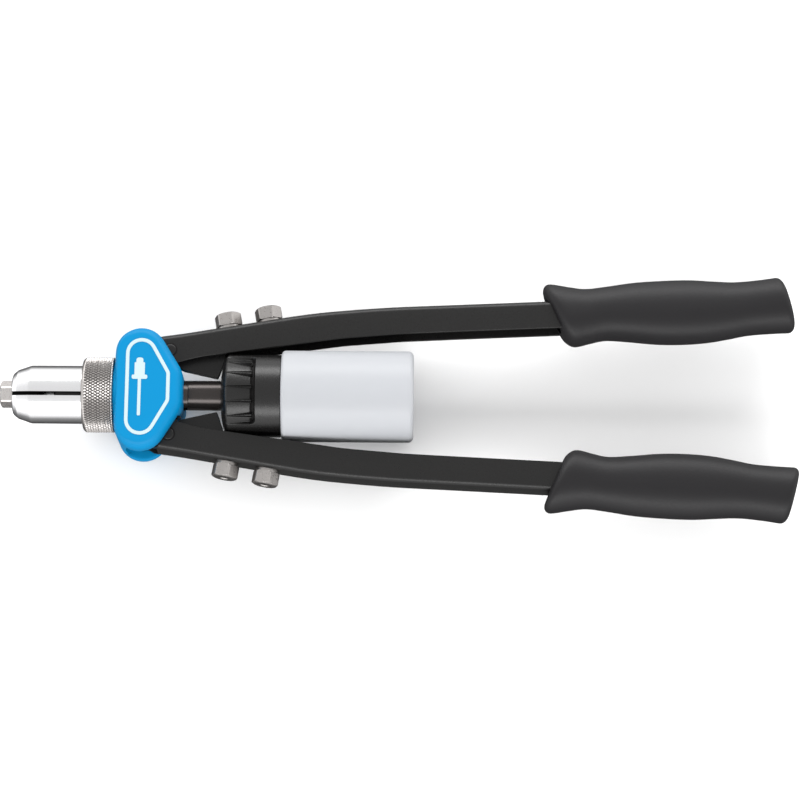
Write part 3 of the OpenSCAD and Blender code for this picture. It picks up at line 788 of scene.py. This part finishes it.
def grip_shape():
    """Grip from the throat round the arm, over the front lip and body, to the rounded rear end."""
    lip, end = 5.2, 3.6
    s = GRIP_FRONT + 3.0
    yc = along(WEB, s) - 7.75
    throat = [(s - slant(s) * (yc + y - spline(s, 1)), yc + y, z) for y, z in oval(8.15, 9.3, 0.28)]
    rings = [[(x + 6.0, y, z) for x, y, z in throat], throat]
    for k in range(11):
        t = math.radians(-25 + 115 * k / 10)
        rings.append(grip_ring(GRIP_FRONT + lip * (1 - math.cos(max(0, t))), lip * (1 - math.sin(t)) * 0.98))
    count = 60
    for k in range(1, count):
        rings.append(grip_ring(GRIP_FRONT + lip + (GRIP_REAR - GRIP_FRONT - lip - end) * k / count, 0))
    for k in range(11):
        t = math.radians(90 * k / 10)
        rings.append(grip_ring(GRIP_REAR - end + end * math.sin(t), end * (1 - math.cos(t))))
    rings.append(grip_ring(GRIP_REAR + 0.2, end + 4))
    return stack(rings)


GRIP_SHAPE = grip_shape()
SPARE_BORES = {"upper": {"front": 2.0, "rear": 2.4}, "lower": {"front": 3.8, "rear": 4.1}}
# height of a spare's front face above the web
SPARE_OUT = 8.4


def on_side(shape, side):
    """The upper arm's shape, or its mirror image for the lower arm."""
    return shape if side == "upper" else mirrored_y(shape)


def rivet_groove_shade(x, y, z):
    """True on the flat rim round a rivet's head, painted black as the shade of a groove."""
    return math.hypot(x - RIVET[0], abs(y) - RIVET[1]) > 3.0


for side in ("upper", "lower"):
    title, body = side.capitalize(), side + "_arm"
    piece(title + "_Arm", on_side(ARM, side), body, side + "_arm_channel", PAINT, sharp=34)
    rivet = piece(title + "_Rivet", on_side(rivet_shape(), side), body, side + "_rivet", PAINT,
                  sharp=40)
    # the rim round each head is painted black as shade
    paint_where(rivet, PAINTED_SHADE, rivet_groove_shade)
    piece(title + "_Grip", on_side(GRIP_SHAPE, side), body, side + "_grip", RUBBER, sharp=50)
    for where in SPARES:
        shape = nosepiece_shape(SPARE_BORES[side][where], 1.5, 6.9, 19.4, math.radians(42))
        shape = moved(shape, spare_matrix(where) @ Matrix.Translation((-SPARE_OUT, 0, 0)))
        spare = piece(title + "_Spare_" + where, on_side(shape, side), body, side + "_spare_" + where,
                      WORN, sharp=24)
        spare.data.materials.append(PAINTED_SHADE)
        # the wall of the bore, the last ring of faces but one, is painted black as its shade
        for poly in spare.data.polygons[-2 * NOSE_COLS:-NOSE_COLS]:
            poly.material_index = 1


# ---------------------------------------------------------------- pull unit

TUBE_PROFILE = fillet([(101.0, 5.6, 0), (101.0, 8.0, 0.2), (128.0, 8.0, 0.5), (128.0, 3.3, 0.3),
                       (113.0, 3.3, 0), (113.0, 5.6, 0)], 3)
piece("Pull_Tube", lathe(TUBE_PROFILE, 96), "pull_unit", "pull_tube", TUBE, sharp=40)

CAP_R = 22.2
# each window of the cap ends at WINDOW_END and holds RIB_COUNT ribs, RIB_STEP degrees apart
WINDOW_END = 137.6
WINDOW_HALF = 19.2
RIB_END = 136.1
RIB_STEP = 21.5
RIB_COUNT = 5
# degrees on either side of a rib's middle that belong to it at RIB_END
CORE = 3.6


def half_turn(a):
    """An angle as degrees from the middle of the nearer window, front or back."""
    return (math.degrees(a) + 90) % 180 - 90


def rib_cell(deg):
    """Middle of the nearest rib, or None outside the ribs, and the way from it, in degrees."""
    k = round(deg / RIB_STEP)
    if abs(k) > RIB_COUNT // 2:
        return None, 0.0
    return k * RIB_STEP, deg - k * RIB_STEP


def cap_turn(x, a):
    """Angle of a column of the cap's mesh: the columns of each rib close up towards the front."""
    middle, away = rib_cell(half_turn(a))
    if middle is None or x < 119 or x > 138.5:
        return a
    t = min(1.0, max(0.0, (x - 121.0) / (RIB_END - 121.0)))
    core = CORE * (0.22 + 0.78 * t)
    half = RIB_STEP / 2
    reach = abs(away)
    if reach < CORE:
        new = reach * core / CORE
    else:
        new = core + (reach - CORE) * (half - core) / (half - CORE)
    return a + math.radians(math.copysign(new, away) - away)


def cap_surface(x, r, a):
    """Outer wall of the cap, with its ribbed finger windows front and back."""
    if r < 19.0 or x > 141:
        return r
    deg = half_turn(a)
    arc_way = abs(deg) * math.pi / 180 * CAP_R
    corner_r = 3.0
    dx, ds = x - (WINDOW_END - corner_r), arc_way - WINDOW_HALF
    beyond = math.hypot(max(dx, 0), max(ds, 0)) + min(max(dx, ds), 0) - corner_r
    inside = 1 - smooth_step(-0.7, 0.0, beyond)
    if inside <= 0:
        return r
    t = min(1.0, max(0.0, (x - 120.0) / (RIB_END - 120.0)))
    floor = 0.1 + 2.1 * t ** 1.1 + 0.6 * smooth_step(RIB_END - 2.0, RIB_END, x)
    middle, away = rib_cell(deg)
    rib = 0.0
    if middle is not None and x < RIB_END + 0.1:
        ridge = 1 - smooth_step(2.3, 3.2, abs(away))
        hollow = 1.1 * t ** 0.6 * (1 - smooth_step(0.5, 1.6, abs(away)))
        rib = ridge * (floor - 0.12) - hollow
        rib *= 1 - smooth_step(RIB_END - 0.35, RIB_END, x)
    return r - inside * (floor - rib)


CAP_PROFILE = [(124.0, 8.1), (118.65, 8.1), (118.65, 9.0), (118.75, 11.0), (118.95, 12.8), (119.3, 14.8),
               (119.7, 16.6), (120.1, 18.0), (120.5, 19.1), (120.95, 20.1), (121.4, 20.9), (121.9, 21.5),
               (122.4, 21.92), (122.8, 22.12), (123.1, CAP_R)]
CAP_PROFILE += [(123.35 + 0.25 * k, CAP_R) for k in range(62)]
CAP_PROFILE += [(140.5, CAP_R), (145.0, CAP_R), (150.3, CAP_R), (150.8, 22.05), (151.0, 21.7), (151.0, 20.4),
                (141.0, 20.4), (141.0, 19.0), (124.0, 19.0)]
cap = piece("Collector_Cap", lathe(CAP_PROFILE, 1080, cap_surface, turn=cap_turn), "pull_unit",
            "collector_cap", CAP, sharp=30)
# the deepest floor of each window and the groove at its rear are painted black as shade
paint_where(cap, PAINTED_SHADE, lambda x, y, z: 121 < x < 137.7 and 19.2 < math.hypot(y, z) < 20.0)

BOTTLE_PROFILE = fillet([(141.3, 18.6, 0.4), (141.3, 20.2, 0.3), (151.1, 20.2, 0.2), (151.1, 24.6, 2.9),
                         (221.9, 24.6, 2.9), (221.9, 12.0, 0)], 9)
BOTTLE_PROFILE += [(221.7, 11.4), (221.4, 10.8), (221.35, 0.0)]
BOTTLE_PROFILE += [(220.1, 0.0), (220.1, 11.0)] + fillet(
    [(220.1, 20.0, 0), (220.1, 22.8, 1.5), (153.0, 22.8, 1.0), (153.0, 18.6, 0)], 5)[1:]
piece("Collector_Bottle", lathe(BOTTLE_PROFILE, 160), "bottle", "collector_bottle", BOTTLE,
      sharp=40)


# ---------------------------------------------------------------- carried-over CAD nodes

CARRIED = {
    "head_block": MACHINED, "cover_screws": DARK_STEEL, "upper_pivot_pin": PLATED, "lower_pivot_pin": PLATED,
    "pivot_clips": DARK_STEEL, "idler_pins": MACHINED, "upper_idler": MACHINED, "lower_idler": MACHINED,
    "upper_lever": PAINT, "lower_lever": PAINT, "upper_spacers": MACHINED, "lower_spacers": MACHINED,
    "jaw_case": DARK_STEEL, "jaw_1": DARK_STEEL, "jaw_2": DARK_STEEL, "jaw_3": DARK_STEEL,
    "jaw_pusher": MACHINED, "jaw_spring": DARK_STEEL, "pull_bar": TUBE, "tube_locknut": MACHINED,
    "seal_ring": SEAL,
}
for node, mat in CARRIED.items():
    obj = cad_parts[node]
    obj.data.materials.clear()
    obj.data.materials.append(mat)
    weld = obj.modifiers.new("joined_corners", "WELD")
    weld.merge_threshold = 1e-6
    if node not in ("jaw_spring", "seal_ring", "upper_idler", "lower_idler"):
        round_edges(obj, 0.25, 2, 35)


# ---------------------------------------------------------------- camera, floor and light

def camera():
    """Near overhead, tilted towards the lower arm, with a slight roll."""
    tilt, roll = math.radians(14.0), math.radians(0.40)
    look = Vector((0, math.sin(tilt), -math.cos(tilt)))
    right0, up0 = Vector((1, 0, 0)), Vector((0, math.cos(tilt), math.sin(tilt)))
    right = right0 * math.cos(roll) + up0 * math.sin(roll)
    up = up0 * math.cos(roll) - right0 * math.sin(roll)
    target = Vector((0.21466, -0.0016, 0))
    place = target - look * 1.496
    data = bpy.data.cameras.new("camera")
    data.lens = 125.1
    data.sensor_width = 36
    data.clip_start = 0.05
    data.clip_end = 20
    cam = bpy.data.objects.new("camera", data)
    cam.matrix_world = Matrix((
        (right.x, up.x, -look.x, place.x), (right.y, up.y, -look.y, place.y),
        (right.z, up.z, -look.z, place.z), (0, 0, 0, 1)))
    bpy.context.scene.collection.objects.link(cam)
    bpy.context.scene.camera = cam


def softbox(name, position, power):
    """Long soft light along the tool, aimed at the middle of its front half."""
    data = bpy.data.lights.new(name, "AREA")
    data.shape = "RECTANGLE"
    data.size, data.size_y = 1.8, 0.45
    data.energy = power
    obj = bpy.data.objects.new(name, data)
    obj.location = position
    obj.rotation_euler = (Vector((0.2, 0.0, 0)) - Vector(position)).to_track_quat("-Z", "Y").to_euler()
    bpy.context.scene.collection.objects.link(obj)


def floor():
    """Pale floor just below the tool."""
    mesh = bpy.data.meshes.new("floor")
    s, z = 6.0, -0.0248
    mesh.from_pydata([(-s, -s, z), (s, -s, z), (s, s, z), (-s, s, z)], [], [(0, 1, 2, 3)])
    obj = bpy.data.objects.new("floor", mesh)
    mesh.materials.append(material("floor_white", srgb(0.965, 0.965, 0.965), 0.7, grain=30, bump=0.0,
                                   mottle=0.0, vary=0.02))
    bpy.context.scene.collection.objects.link(obj)
    obj.visible_glossy = False
    obj.visible_diffuse = False


def studio():
    """Soft surroundings: bright round the horizon, calmer overhead and dark below."""
    world = bpy.data.worlds.new("studio")
    world.use_nodes = True
    nodes, links = world.node_tree.nodes, world.node_tree.links
    coords = nodes.new("ShaderNodeTexCoord")
    split = nodes.new("ShaderNodeSeparateXYZ")
    spread = nodes.new("ShaderNodeMapRange")
    spread.inputs["From Min"].default_value = -1.0
    spread.inputs["From Max"].default_value = 1.0
    ramp = nodes.new("ShaderNodeValToRGB")
    stops = [(0.0, 0.05), (0.22, 0.16), (0.36, 0.58), (0.5, 0.8), (0.68, 0.7), (0.85, 0.45), (1.0, 0.42)]
    while len(ramp.color_ramp.elements) < len(stops):
        ramp.color_ramp.elements.new(0.5)
    for element, (at, level) in zip(ramp.color_ramp.elements, stops):
        element.position = at
        element.color = (level, level, level, 1.0)
    background = nodes["Background"]
    background.inputs["Strength"].default_value = 2.0
    links.new(coords.outputs["Generated"], split.inputs["Vector"])
    links.new(split.outputs["Z"], spread.inputs["Value"])
    links.new(spread.outputs["Result"], ramp.inputs["Fac"])
    links.new(ramp.outputs["Color"], background.inputs["Color"])
    bpy.context.scene.world = world
    bpy.context.scene.view_settings.view_transform = "Standard"


camera()
floor()
studio()
softbox("softbox_far", (0.2, 1.0, 0.55), 14)
softbox("softbox_near", (0.2, -1.0, 0.65), 12)
